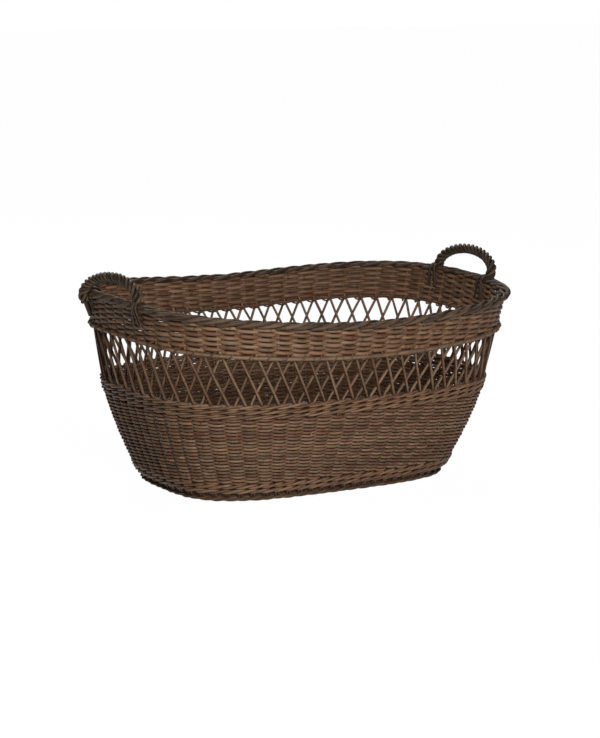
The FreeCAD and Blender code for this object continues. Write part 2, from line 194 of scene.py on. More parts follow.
@dataclass(frozen=True)
class Wall:
    """The oval wall that every rod is laid on."""

    foot: Level
    belt: Level
    hoop: Level
    rim: Level
    saddle: float
    squareness: float = 3.0
    foot_squareness: float = 3.4
    bulge: float = 1.3
    table_rows: int = 61
    table_steps: int = 1441
    guesses: int = 6

    @classmethod
    def from_frame(cls) -> Wall:
        """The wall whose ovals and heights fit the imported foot, belt, hoop and rim.

        Formula: each half size is the node's less what the node reaches out of the wall's middle.

        Returns:
            The wall.
        """
        foot_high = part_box("foot_border")[1]
        belt_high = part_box("belt_wale_round_2")[1]
        hoop_low, hoop_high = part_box("hoop_rod")
        rim_low, rim_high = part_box("rim_border")
        belt_reach = STAKE_ROOM / 2 + BELT_ROD
        hoop_reach = STAKE_ROOM / 2 + HOOP_ROD
        rim_height = (rim_low.z + rim_high.z) / 2 + BORDER_HALF_HEIGHT
        rim_reach = BORDER_WIDTH / 2 - BORDER_BULGE
        return cls(
            Level(0.0, foot_high.x - FOOT_WIDTH / 2, foot_high.y - FOOT_WIDTH / 2),
            Level(belt_high.z + SEAT, belt_high.x - belt_reach, belt_high.y - belt_reach),
            Level((hoop_low.z + hoop_high.z) / 2, hoop_high.x - hoop_reach,
                  hoop_high.y - hoop_reach),
            Level(rim_height, rim_high.x - rim_reach, rim_high.y - rim_reach),
            rim_high.z - rim_height)

    def oval(self, height: Array) -> tuple[Array, Array, Array]:
        """Half length, half width and squareness of the wall at heights.

        Formula: below the belt both sizes grow with 1 - (1 - height share) ** bulge, and above
        it they run straight from belt to hoop and from hoop to rim.

        Args:
            height: heights before the saddle's lift.

        Returns:
            The half lengths, the half widths and the powers.
        """
        share = 1 - (1 - np.clip(height / self.belt.height, 0, 1)) ** self.bulge
        levels = [self.belt.height, self.hoop.height, self.rim.height]
        below = np.asarray(height) <= self.belt.height
        sizes = []
        for side in ("half_length", "half_width"):
            low, high = getattr(self.foot, side), getattr(self.belt, side)
            over = np.interp(height, levels, [high, getattr(self.hoop, side),
                                              getattr(self.rim, side)])
            sizes.append(np.where(below, low + (high - low) * share, over))
        power = self.foot_squareness + (self.squareness - self.foot_squareness) * share
        return sizes[0], sizes[1], power

    def flat_point(self, height: Array, angle: Array) -> tuple[Array, Array]:
        """X and Y on the squarish oval at a height, in a direction from its middle.

        Args:
            height: heights before the saddle's lift.
            angle: directions in radians, 0 along +X.

        Returns:
            X and Y.
        """
        reach = oval_reach(*self.oval(height), angle)
        return reach * np.cos(angle), reach * np.sin(angle)

    @cached_property
    def table(self) -> Array:
        """Directions at even shares of the way round, one row for each of the table's heights."""
        angles = np.linspace(0, 2 * np.pi, self.table_steps)
        heights = np.linspace(0, self.rim.height, self.table_rows)
        x, y = self.flat_point(heights[:, None], angles[None, :])
        steps = np.hypot(np.diff(x, axis=1), np.diff(y, axis=1))
        walked = np.concatenate([np.zeros((len(heights), 1)), np.cumsum(steps, axis=1)], axis=1)
        turns = np.linspace(0, 1, self.table_steps)
        return np.stack([np.interp(turns, row / row[-1], angles) for row in walked])

    def angle(self, turn: Array, height: Array) -> Array:
        """The direction at a share of the way round, read from the table between its entries.

        Args:
            turn: shares of the way round from the +X end.
            height: heights before the saddle's lift.

        Returns:
            Directions in radians.
        """
        row = np.clip(height / self.rim.height, 0, 0.99999) * (self.table_rows - 1)
        column = (turn % 1.0) * (self.table_steps - 1)
        i = row.astype(int)
        j = np.minimum(column.astype(int), self.table_steps - 2)
        u = row - i
        v = column - j
        table = self.table
        return ((table[i, j] * (1 - v) + table[i, j + 1] * v) * (1 - u)
                + (table[i + 1, j] * (1 - v) + table[i + 1, j + 1] * v) * u)

    def lift(self, height: Array, angle: Array) -> Array:
        """How far the wall rises at its ends and dips at its sides above the belt.

        Formula: saddle * (1 - (1 - share from belt to rim) ** 2) * cos(twice the direction).

        Args:
            height: heights before the lift.
            angle: directions in radians.

        Returns:
            The lift.
        """
        share = (height - self.belt.height) / (self.rim.height - self.belt.height)
        share = np.clip(share, 0, 1)
        return self.saddle * (1 - (1 - share) ** 2) * np.cos(2 * angle)

    def unlifted(self, node: str) -> tuple[float, float]:
        """The lower and upper heights of a band before the saddle's lift.

        Formula: the band's lowest point is at the middle of a side and its highest at an end; each
        height is found by taking the lift at the last guess off the box's height, a few times over.

        Args:
            node: the band's CAD node.

        Returns:
            The lower and the upper height.
        """
        low, high = (corner.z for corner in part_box(node))
        low_edge, high_edge = low, high
        for _ in range(self.guesses):
            low_edge = low + float(self.lift(np.array(low_edge), np.array(0.0)))
            high_edge = high - float(self.lift(np.array(high_edge), np.array(0.0)))
        return low_edge, high_edge

    def facing(self, turn: Array, height: Array) -> Array:
        """Level unit vectors that point out of the wall.

        Args:
            turn: shares of the way round.
            height: heights before the saddle's lift.

        Returns:
            Unit vectors on the last axis.
        """
        turn, height = np.broadcast_arrays(turn, height)
        angle = self.angle(turn, height)
        x, y = self.flat_point(height, angle)
        length, width, power = self.oval(height)
        normal_x = np.sign(x) * np.abs(x / length) ** (power - 1) / length
        normal_y = np.sign(y) * np.abs(y / width) ** (power - 1) / width
        return unit(np.stack([normal_x, normal_y, np.zeros_like(x)], axis=-1))

    def place(self, turn: Array, height: Array, outward: Array | float = 0.0,
              sideways: Array | float = 0.0) -> Array:
        """Points laid on the wall.

        Formula: the oval's point at that share of its length, plus the level normal times the
        outward distance over the cosine of the wall's slope, plus the level tangent times the
        sideways distance.

        Args:
            turn: share of the way round from the +X end, counter-clockwise from above.
            height: height before the saddle's lift.
            outward: distance square to the sloping wall.
            sideways: distance along the wall.

        Returns:
            Points, with X, Y and Z on the last axis.
        """
        turn, height, outward, sideways = np.broadcast_arrays(turn, height, outward, sideways)
        angle = self.angle(turn, height)
        x, y = self.flat_point(height, angle)
        normal = self.facing(turn, height)
        step = 0.001
        above = self.flat_point(height + step, angle)
        below = self.flat_point(height - step, angle)
        slope = ((above[0] - below[0]) * normal[..., 0] + (above[1] - below[1]) * normal[..., 1])
        outward = outward * np.hypot(1, slope / (2 * step))
        return np.stack([x + outward * normal[..., 0] - sideways * normal[..., 1],
                         y + outward * normal[..., 1] + sideways * normal[..., 0],
                         height + self.lift(height, angle)], axis=-1)


# ---------------------------------------------------------------- rods


@dataclass
class Rods:
    """Rods that are alike: a round profile carried along a path for each."""

    paths: Array                      # rods by rings by 3
    radius: Array | float             # broadcast to rods by rings
    facing: Array                     # the way the profile's front looks, broadcast to paths
    tones: Array                      # 0 to 1, broadcast to rods by rings
    sides: int = 8
    closed: bool = False
    flatness: float = 1.0             # thickness towards the front over the width

    def surface(self) -> Array:
        """Corners of every profile.

        Formula: path + radius * (cos of the corner's angle * front + sin of it * side), where
        side is the path's direction crossed with the facing and front is side crossed back.

        Returns:
            An array of rods by rings by sides by 3.
        """
        if self.closed:
            along = np.roll(self.paths, -1, axis=1) - np.roll(self.paths, 1, axis=1)
        else:
            along = np.gradient(self.paths, axis=1)
        along = unit(along)
        side = unit(np.cross(along, np.broadcast_to(self.facing, self.paths.shape)))
        front = np.cross(side, along)
        corner = np.pi + 2 * np.pi * np.arange(self.sides) / self.sides
        radius = np.broadcast_to(self.radius, self.paths.shape[:2])[..., None, None]
        across = (np.cos(corner)[:, None] * front[:, :, None, :] * self.flatness
                  + np.sin(corner)[:, None] * side[:, :, None, :])
        return self.paths[:, :, None, :] + radius * across

    def mesh(self, name: str) -> bpy.types.Mesh:
        """One mesh of all the rods, with a UV map of corner share by metres along, and tones.

        Args:
            name: the mesh's name.

        Returns:
            The mesh, its open rods closed with flat ends.
        """
        rods, rings = self.paths.shape[:2]
        sides = self.sides
        index = np.arange(rods * rings * sides).reshape(rods, rings, sides)
        spans = rings if self.closed else rings - 1
        ring = np.arange(spans)
        upper = (ring + 1) % rings
        corner = np.arange(sides)
        after = (corner + 1) % sides
        low = index[:, ring]
        high = index[:, upper]
        quads = np.stack([low[..., corner], low[..., after], high[..., after], high[..., corner]],
                         axis=-1).reshape(-1, 4)
        steps = np.linalg.norm(np.roll(self.paths, -1, axis=1) - self.paths, axis=-1)[:, :spans]
        walked = np.concatenate([np.zeros((rods, 1)), np.cumsum(steps, axis=1)], axis=1)
        u = np.broadcast_to(corner / sides, (rods, spans, sides))
        v = np.broadcast_to(walked[:, :-1, None], u.shape)
        w = np.broadcast_to(walked[:, 1:, None], u.shape)
        coords = np.stack([np.stack([u, v], -1), np.stack([u + 1 / sides, v], -1),
                           np.stack([u + 1 / sides, w], -1), np.stack([u, w], -1)],
                          axis=-2).reshape(-1, 2)
        loops = [quads.ravel()]
        starts = [np.arange(len(quads)) * 4]
        if not self.closed:
            caps = np.concatenate([index[:, 0, ::-1], index[:, -1]])
            starts.append(len(quads) * 4 + np.arange(len(caps)) * sides)
            loops.append(caps.ravel())
            ends = np.concatenate([np.zeros(rods), walked[:, -1]])
            coords = np.concatenate([coords, np.stack(
                [np.full(len(caps) * sides, 0.5), np.repeat(ends, sides)], axis=-1)])
        mesh = bpy.data.meshes.new(name)
        points = self.surface().reshape(-1, 3)
        mesh.vertices.add(len(points))
        mesh.vertices.foreach_set("co", points.ravel())
        loops = np.concatenate(loops)
        starts = np.concatenate(starts)
        mesh.loops.add(len(loops))
        mesh.loops.foreach_set("vertex_index", loops.astype(np.int32))
        mesh.polygons.add(len(starts))
        mesh.polygons.foreach_set("loop_start", starts.astype(np.int32))
        smooth = np.ones(len(starts), bool)
        smooth[len(quads):] = False
        mesh.polygons.foreach_set("use_smooth", smooth)
        mesh.uv_layers.new(name="rod").uv.foreach_set("vector", coords.astype(np.float32).ravel())
        tones = np.broadcast_to(self.tones, (rods, rings))[..., None]
        tones = np.broadcast_to(tones, (rods, rings, sides))
        mesh.attributes.new("tone", "FLOAT", "POINT").data.foreach_set(
            "value", tones.astype(np.float32).ravel())
        mesh.update(calc_edges=True)
        mesh.validate()
        return mesh


def put(name: str, rods: Rods, finish: WillowFinish,
        nodes: Sequence[str] = ()) -> bpy.types.Object:
    """Adds rods to the basket as one piece.

    Args:
        name: the piece's name.
        rods: its rods.
        finish: what they look like.
        nodes: CAD nodes that the piece stands for.

    Returns:
        The new object, riding on the basket's body.
    """
    piece = bpy.data.objects.new(name, rods.mesh(name))
    bpy.context.scene.collection.objects.link(piece)
    piece.data.materials.append(finish.material)
    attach(piece, BODY)
    if nodes:
        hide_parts(*nodes)
    LOG.info("%s: %d rods, %d faces", name, rods.paths.shape[0], len(piece.data.polygons))
    return piece


# ---------------------------------------------------------------- shader maths


class Sock:
    """A node socket that can be used in sums."""

    def __init__(self, shader: Shader, socket: bpy.types.NodeSocket) -> None:
        """Wraps a socket of a shader's node."""
        self.shader = shader
        self.socket = socket

    def maths(self, operation: str, *others: Sock | float, swapped: bool = False) -> Sock:
        """This socket and others through one Math node.

        Args:
            operation: the node's operation.
            others: the values after this one.
            swapped: whether this one comes last instead.

        Returns:
            The node's output.
        """
        values = [self, *others]
        if swapped:
            values.reverse()
        return self.shader.node("ShaderNodeMath", {"operation": operation},
                                dict(enumerate(values)))[0]

    def __add__(self, other: Sock | float) -> Sock:
        """Sum."""
        return self.maths("ADD", other)

    def __radd__(self, other: float) -> Sock:
        """Sum with a number on the left."""
        return self.maths("ADD", other)

    def __sub__(self, other: Sock | float) -> Sock:
        """Difference."""
        return self.maths("SUBTRACT", other)

    def __rsub__(self, other: float) -> Sock:
        """Difference from a number on the left."""
        return self.maths("SUBTRACT", other, swapped=True)

    def __mul__(self, other: Sock | float) -> Sock:
        """Product."""
        return self.maths("MULTIPLY", other)

    def __rmul__(self, other: float) -> Sock:
        """Product with a number on the left."""
        return self.maths("MULTIPLY", other)

    def __truediv__(self, other: Sock | float) -> Sock:
        """Quotient."""
        return self.maths("DIVIDE", other)

    def part(self) -> Sock:
        """What is left after the whole number."""
        return self.maths("FRACT")


class Shader:
    """A material's nodes, made by one method."""

    def __init__(self, name: str) -> None:
        """Starts an empty material of that name."""
        self.material = bpy.data.materials.new(name)
        self.material.use_nodes = True
        self.tree = self.material.node_tree
        self.tree.nodes.clear()

    def node(self, kind: str, settings: dict[str, Any] | None = None,
             inputs: dict[str | int, Any] | None = None) -> list[Sock]:
        """Adds a node.

        Args:
            kind: the node's type.
            settings: its properties, set first, with a colour ramp's stops as "stops".
            inputs: values or sockets for its inputs, by name or place.

        Returns:
            Its outputs, in order.
        """
        node = self.tree.nodes.new(kind)
        for key, value in (settings or {}).items():
            if key == "stops":
                ramp = node.color_ramp
                while len(ramp.elements) < len(value):
                    ramp.elements.new(0.5)
                for element, (place, colour) in zip(ramp.elements, value):
                    element.position = place
                    element.color = colour
            else:
                setattr(node, key, value)
        for key, value in (inputs or {}).items():
            if isinstance(value, Sock):
                self.tree.links.new(value.socket, node.inputs[key])
            else:
                node.inputs[key].default_value = value
        return [Sock(self, output) for output in node.outputs if output.enabled]

    def mixed(self, share: Sock | float, first: Any, second: Any, blend: str = "MIX") -> Sock:
        """Two colours mixed by a share."""
        return self.node("ShaderNodeMix", {"data_type": "RGBA", "blend_type": blend},
                         {"Factor": share, 6: first, 7: second})[0]

    def noise(self, vector: Sock, scale: float, detail: float = 2.0) -> Sock:
        """Soft noise about one half."""
        return self.node("ShaderNodeTexNoise", {"noise_dimensions": "3D"},
                         {"Vector": vector, "Scale": scale, "Detail": detail})[0]

    def ramp(self, value: Sock, low: float, high: float) -> Sock:
        """A value spread from 0 to 1 between two of its values, and held there."""
        return self.node("ShaderNodeMapRange", {"clamp": True},
                         {"Value": value, "From Min": low, "From Max": high})[0]


def paint(red: int, green: int, blue: int) -> Colour:
    """A colour from its screen values, as the linear values that shaders use.

    Args:
        red: 0 to 255.
        green: 0 to 255.
        blue: 0 to 255.

    Returns:
        Red, green, blue and alpha.
    """
    values = [channel / 255 for channel in (red, green, blue)]
    linear = [v / 12.92 if v <= 0.04045 else ((v + 0.055) / 1.055) ** 2.4 for v in values]
    return (*linear, 1.0)


@dataclass(frozen=True)
class WillowFinish:
    """Steamed brown willow: each rod has its own shade, with streaks, patches and knots."""

    name: str
    dark: Colour
    middle: Colour
    light: Colour
    warm: Colour
    grey: Colour
    roughness: float = 0.5
    knot_spacing: float = 0.075
    grain_depth: float = 0.00025

    @cached_property
    def material(self) -> bpy.types.Material:
        """The finish's nodes.

        Formula: rod shade + patches along the rod + fine streaks + a painted highlight on the
        sides that face out and in, with painted shade on the sides between them, choose between
        dark, middle and light.  A second value for each rod turns some of them warm and some
        grey, and knots are dark rings once in every knot spacing.

        Returns:
            The material, which is made when it is first asked for.
        """
        shader = Shader(self.name)
        tone = shader.node("ShaderNodeAttribute", {"attribute_name": "tone"})[2]
        around = shader.node("ShaderNodeUVMap", {"uv_map": "rod"})[0]
        u, v, _ = shader.node("ShaderNodeSeparateXYZ", None, {0: around})
        turned = (u * (2 * math.pi)).maths("COSINE")
        second = (tone * 17.31).part()
        streak_at = shader.node("ShaderNodeCombineXYZ", None, {0: u * 9.0, 1: v * 14.0,
                                                               2: tone * 43.0})[0]
        patch_at = shader.node("ShaderNodeCombineXYZ", None, {0: turned * 0.6, 1: v * 38.0,
                                                              2: tone * 91.0})[0]
        streak = shader.noise(streak_at, 1.0, 3.0)
        patch = shader.noise(patch_at, 1.0, 2.0)
        knot_place = (v / self.knot_spacing + second * 5.0).part()
        knot = (1.0 - shader.ramp((knot_place - 0.5).maths("ABSOLUTE"), 0.0, 0.05)) * patch
        # painted light: each rod is lighter on the faces that look out and in, a painted highlight
        # on its crest, and darker on the sides between, painted shade where the rods press together
        painted_highlight_and_shade = shader.ramp(turned.maths("ABSOLUTE"), 0.15, 1.0)
        shade = tone * 0.38 + (patch - 0.5) * 0.9 + (streak - 0.5) * 0.8 + painted_highlight_and_shade * 0.55
        colour = shader.node("ShaderNodeValToRGB",
                             {"stops": [(0.0, self.dark), (0.5, self.middle), (1.0, self.light)]},
                             {0: shade})[0]
        colour = shader.mixed(shader.ramp(second, 0.55, 1.0) * 0.5, colour, self.warm)
        colour = shader.mixed(shader.ramp(second, 0.35, 0.0) * 0.5, colour, self.grey)
        colour = shader.mixed(knot * 0.9, colour, self.dark)
        rough = self.roughness + (streak - 0.5) * 0.3 + (patch - 0.5) * 0.2
        height = streak * 0.6 + patch * 0.4 + knot
        normal = shader.node("ShaderNodeBump", None,
                             {"Strength": 0.7, "Distance": self.grain_depth, "Height": height})[0]
        surface = shader.node("ShaderNodeBsdfPrincipled", None,
                              {"Base Color": colour, "Roughness": rough, "Normal": normal,
                               "Specular IOR Level": 0.28})[0]
        shader.node("ShaderNodeOutputMaterial", None, {"Surface": surface})
        return shader.material


WEAVE = WillowFinish("willow_weave", paint(58, 36, 23), paint(106, 75, 54),
                     paint(158, 124, 96), paint(108, 66, 44), paint(98, 82, 62))
STAKE = WillowFinish("willow_stakes", paint(60, 40, 27), paint(108, 79, 58),
                     paint(158, 127, 100), paint(110, 70, 48), paint(100, 85, 65),
                     knot_spacing=0.06)
BORDER = WillowFinish("willow_borders", paint(36, 25, 17), paint(74, 55, 40),
                      paint(120, 95, 72), paint(76, 50, 36), paint(72, 60, 46), 0.58)
HANDLE = WillowFinish("willow_handles", paint(28, 21, 14), paint(62, 48, 35),
                      paint(108, 87, 66), paint(62, 43, 30), paint(58, 50, 38), 0.52)
FOOT = WillowFinish("willow_foot", paint(44, 31, 22), paint(84, 63, 48),
                    paint(120, 97, 77), paint(82, 56, 40), paint(82, 70, 56), 0.6)


# ---------------------------------------------------------------- woven bands


@dataclass
class Siding:
    """A band of plain weaving, in front of one stake pair and behind the next."""

    wall: Wall
    name: str
    rod_diameter: float
    row_pitch: float
    parts: int
    seed: int
    reach: float = 0.0038
    flatness: float = 0.72
    crest: float = 1.3
    samples: int = 8
    sides: int = 8
    wobble: float = 0.0004            # how far a row strays up, down, out and in
    sag: float = 0.0005
    thickness_spread: float = 0.07
    lengths: int = 3
    room_below: float = 0.0
    room_above: float = 0.0

    def rods(self, first: int, last: int, rows: int, low: float, pitch: float) -> Rods:
        """The rows from first to last.

        Formula: outward = reach * tanh(crest * cos(pi * (station + row))) / tanh(crest); the
        height is the row's, less a little where the rod stands out, with a small smooth wobble.

        Args:
            first: the lowest row.
            last: the row after the highest.
            rows: rows in the whole band; not used.
            low: height of the band's lower edge.
            pitch: height of a row.

        Returns:
            The rows as closed rods.
        """
        rng = np.random.default_rng(self.seed + first)
        steps = STATIONS * self.samples
        count = last - first
        turn = np.broadcast_to(np.arange(steps) / steps, (count, steps))
        row = np.arange(first, last)[:, None]
        wave = np.cos(np.pi * (turn * STATIONS + row))
        outward = self.reach * np.tanh(self.crest * wave) / math.tanh(self.crest)
        outward = outward + self.wobble * smooth_noise(rng, count, steps, STATIONS)
        height = low + (row + 0.5) * pitch - self.sag * wave
        height = height + self.wobble * smooth_noise(rng, count, steps, STATIONS // 2)
        size = 1 + self.thickness_spread * rng.uniform(-1, 1, (count, 1))
        size = size + self.thickness_spread * smooth_noise(rng, count, steps, 12)
        tones = pieced_tones(rng, count, steps, self.lengths)
        return Rods(self.wall.place(turn, height, outward), self.rod_diameter / 2 * size,
                    self.wall.facing(turn, height), tones, self.sides, closed=True,
                    flatness=self.flatness)

    def build(self, finish: WillowFinish) -> None:
        """Adds the band's pieces, from its lower edge up.

        Args:
            finish: what the rods look like.
        """
        low_edge, high_edge = self.wall.unlifted(self.name)
        low_edge -= self.room_below
        high_edge += self.room_above
        LOG.info("%s from %.4f to %.4f", self.name, low_edge, high_edge)
        rows = round((high_edge - low_edge) / self.row_pitch)
        pitch = (high_edge - low_edge) / rows
        cuts = [rows * part // self.parts for part in range(self.parts + 1)]
        for part, (first, last) in enumerate(zip(cuts, cuts[1:]), start=1):
            rods = self.rods(first, last, rows, low_edge, pitch)
            put(f"{self.name}_rods_{part}", rods, finish,
                [self.name] if part == 1 else [])


@dataclass
class Waling:
    """Rounds of three-rod waling, each rod in front of two stake pairs and behind one."""

    wall: Wall
    name: str
    nodes: tuple[str, ...]
    rounds: int
    proud: float
    seed: int
    samples: int = 7
    sides: int = 10

    def build(self, finish: WillowFinish) -> None:
        """Adds the rounds.

        Formula: a round's three rods are one path that goes three times round; with w the
        station times a third of a turn plus a sixth, outward = reach * tanh(2.2 * (0.25 + cos w))
        and height = the round's middle + rise * sin w.

        Args:
            finish: what the rods look like.
        """
        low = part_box(self.nodes[0])[0].z
        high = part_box(self.nodes[-1])[1].z + SEAT
        rng = np.random.default_rng(self.seed)
        pitch = (high - low) / self.rounds
        thick = pitch / 2 * 1.06
        steps = STATIONS * 3 * self.samples
        station = np.broadcast_to(np.arange(steps) / self.samples, (self.rounds, steps))
        turn = station / STATIONS
        wave = 2 * np.pi * station / 3 + np.pi / 3
        reach = (STAKE_ROOM + thick) / 2
        rise = pitch / 4 / math.sin(math.pi / 3)
        outward = reach * np.tanh(2.2 * (0.25 + np.cos(wave)))
        outward = outward + self.proud * np.clip(np.cos(wave), 0, 1)
        outward = outward + 0.0005 * smooth_noise(rng, self.rounds, steps, STATIONS)
        middle = low + (np.arange(self.rounds)[:, None] + 0.5) * pitch
        height = middle + rise * np.sin(wave)
        height = height + 0.0005 * smooth_noise(rng, self.rounds, steps, STATIONS)
        size = 1 + 0.10 * smooth_noise(rng, self.rounds, steps, 60)
        rods = Rods(self.wall.place(turn, height, outward), thick / 2 * size,
                    self.wall.facing(turn, height), pieced_tones(rng, self.rounds, steps, 14),
                    self.sides, closed=True)
        put(self.name, rods, finish, self.nodes)


@dataclass
class Stakes:
    """The upright rods, which pair up in the walls and cross in the open band."""

    wall: Wall
    rings: int = 62
    lean: float = 1.5
    bend_room: float = -0.007
    hoop_room: float = 0.012          # where the lean ends over the hoop
    foot_room: float = 0.0016         # where the stakes begin over the foot
    border_room: float = 0.0145       # where they end under the rim's middle
    jitter: float = 0.0012
    seed: int = 31

    def rods(self, lean: int) -> Rods:
        """The stakes that lean one way.

        Formula: from the belt to just above the hoop the station moves evenly, by one and a half
        at the hoop, and the stake leaves the side of its pair; there it stands out of the wall's
        middle by half a stake, outside it if it leans left and inside it if it leans right.

        Args:
            lean: +1 for stakes that lean right, -1 for left.

        Returns:
            One open rod for each station.
        """
        rng = np.random.default_rng(self.seed + lean)
        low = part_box("foot_border")[1].z + self.foot_room
        high = self.wall.rim.height - self.border_room
        open_low = self.wall.belt.height + self.bend_room
        hoop = self.wall.hoop.height
        open_high = hoop + self.hoop_room
        lower = np.linspace(low, open_low - 0.010, 18)
        middle = np.linspace(open_low - 0.007, open_high + 0.009, self.rings - 26)
        height = np.concatenate([lower, middle, np.linspace(open_high + 0.012, high, 8)])[None, :]
        share = (height - open_low) / (hoop - open_low)
        end = (open_high - open_low) / (hoop - open_low)
        soft = 0.02
        ramp = (np.logaddexp(0, share / soft) - np.logaddexp(0, (share - end) / soft)) * soft
        station = np.arange(STATIONS)[:, None]
        beside = (STAKE_DIAMETER + SEAT) / 2
        turn = (station + lean * self.lean * ramp) / STATIONS
        sideways = lean * beside * (1 - ramp)
        crossing = ease(share / 0.12) * ease((end - share) / 0.10)
        stray = self.jitter * smooth_noise(rng, STATIONS, height.shape[1], 5, closed=False)
        sideways = sideways + stray * crossing
        outward = -lean * (beside + 0.0002) * crossing
        size = 1 + 0.07 * rng.uniform(-1, 1, (STATIONS, 1))
        turn, height = np.broadcast_arrays(turn, height)
        tones = rng.uniform(0, 1, (STATIONS, 1))
        return Rods(self.wall.place(turn, height, outward, sideways), STAKE_DIAMETER / 2 * size,
                    self.wall.facing(turn, height), tones, 8)

    def build(self, finish: WillowFinish) -> None:
        """Adds the stakes that lean right and those that lean left.

        Args:
            finish: what the stakes look like.
        """
        for side, lean in (("right", 1), ("left", -1)):
            name = f"stakes_leaning_{side}"
            put(f"{name}_rods", self.rods(lean), finish, [name])


@dataclass
class Hoop:
    """The smooth hoop outside the crossed stakes, and the weaver that ties it to them."""

    wall: Wall
    diameter: float = 0.008
    inner_diameter: float = 0.005     # the level tie inside the stakes
    tie_diameter: float = 0.0034
    samples: int = 10
    seed: int = 57

    def build(self, hoop_finish: WillowFinish, tie_finish: WillowFinish) -> None:
        """Adds the hoop and its ties.

        Formula: the hoop runs level outside the stakes.  One tie runs level inside them, and the
        other goes once round both at every station: outward and height are the cosine and sine
        of a full turn for each station, times the half sizes of an oval round them.

        Args:
            hoop_finish: what the hoop looks like.
            tie_finish: what its ties look like.
        """
        rng = np.random.default_rng(self.seed)
        steps = STATIONS * self.samples
        turn = np.arange(steps)[None, :] / steps
        level = self.wall.hoop.height
        reach = (STAKE_ROOM + self.diameter) / 2
        height = level + 0.0004 * smooth_noise(rng, 1, steps, 30)
        size = 1 + 0.05 * smooth_noise(rng, 1, steps, 40)
        outside = Rods(self.wall.place(turn, height, reach), self.diameter / 2 * size,
                       self.wall.facing(turn, height), pieced_tones(rng, 1, steps, 3) * 0.4 + 0.4,
                       12, closed=True)
        put("hoop_rod_round", outside, hoop_finish, ["hoop_rod"])
        inner_reach = -(STAKE_ROOM + self.inner_diameter) / 2
        wave = 2 * np.pi * turn * STATIONS
        tie = self.tie_diameter
        half_depth = (reach + self.diameter / 2 + tie - inner_reach + self.inner_diameter / 2) / 2
        centre = reach + self.diameter / 2 + tie / 2 - half_depth
        inside = self.wall.place(turn, level + 0.0006 * np.cos(wave), inner_reach)
        winding = self.wall.place(turn, level + (self.diameter / 2 + tie / 2) * 1.05 * np.sin(wave),
                                  centre + half_depth * np.cos(wave))
        radius = np.array([[self.inner_diameter / 2], [tie / 2]])
        radius = radius * (1 + 0.06 * smooth_noise(rng, 2, steps, 50))
        ties = Rods(np.concatenate([inside, winding]), radius, UP,
                    pieced_tones(rng, 2, steps, 4), closed=True)
        put("fitching_rods", ties, tie_finish, ["fitching_weaver"])


@dataclass
class RolledBorder:
    """A border of rods that climb over one another round a core."""

    wall: Wall
    name: str
    half_width: float
    half_height: float
    rod_diameter: float
    span: float                       # stations that a rod runs along the border
    start: float                      # degrees round the section, 0 outside and 90 on top
    end: float
    level: float
    upright: bool
    seed: int
    strands: int = STATIONS
    core: float = 0.62                # the core's thickness over the border's
    offset: float = 0.0               # how far the border stands out of the wall
    rings: int = 44
    sides: int = 8

    def build(self, finish: WillowFinish) -> None:
        """Adds the border's rods and its core.

        Formula: a rod's place round an elliptical section goes evenly from start to end while it
        runs its span along the wall, and it thins towards its end.

        Args:
            finish: what the border looks like.
        """
        rng = np.random.default_rng(self.seed)
        number = np.arange(self.strands)[:, None]
        share = np.linspace(0, 1, self.rings)[None, :]
        per_station = self.strands / STATIONS
        shift = 0.12 * rng.uniform(-1, 1, number.shape)
        turn = ((number + shift) / per_station + self.span * (share - 0.5)) / STATIONS
        around = np.radians(self.start + (self.end - self.start) * share)
        around = around + 0.10 * smooth_noise(rng, self.strands, self.rings, 4, closed=False)
        radius = self.rod_diameter / 2
        proud = 0.0006 * smooth_noise(rng, self.strands, self.rings, 5, closed=False)
        outward = (self.half_width - radius + proud) * np.cos(around)
        rise = (self.half_height - radius + proud) * np.sin(around)
        size = (1 - 0.35 * share ** 3) * (1 + 0.08 * rng.uniform(-1, 1, number.shape))
        tones = np.broadcast_to(rng.uniform(0, 1, number.shape), turn.shape)
        paths = self.laid(turn, rise, outward)
        middle = self.laid(turn, rise * 0, outward * 0)
        rods = Rods(paths, radius * size, paths - middle, tones, self.sides)
        put(f"{self.name}_rods", rods, finish, [self.name])
        steps = STATIONS * 4
        core_turn = np.broadcast_to(np.arange(steps) / steps, (2, steps))
        core_out = np.array([[-0.42], [0.42]]) * self.half_width
        core = Rods(self.laid(core_turn, core_turn * 0, core_out + core_turn * 0),
                    self.half_height * self.core, UP, rng.uniform(0, 0.4, (2, 1)), closed=True)
        put(f"{self.name}_core", core, finish)

    def laid(self, turn: Array, rise: Array, outward: Array) -> Array:
        """Points about the border's middle line, upright at the foot and on the wall above.

        Args:
            turn: shares of the way round.
            rise: heights over the middle line.
            outward: distances out of it.

        Returns:
            Points on the last axis.
        """
        if self.upright:
            level = np.zeros_like(turn)
            points = self.wall.place(turn, level, 0.0)
            points = points + self.wall.facing(turn, level) * outward[..., None]
            points[..., 2] = self.level + rise
            return points
        points = self.wall.place(turn, np.full_like(turn, self.level), outward + self.offset)
        points[..., 2] += rise
        return points


# ---------------------------------------------------------------- handles


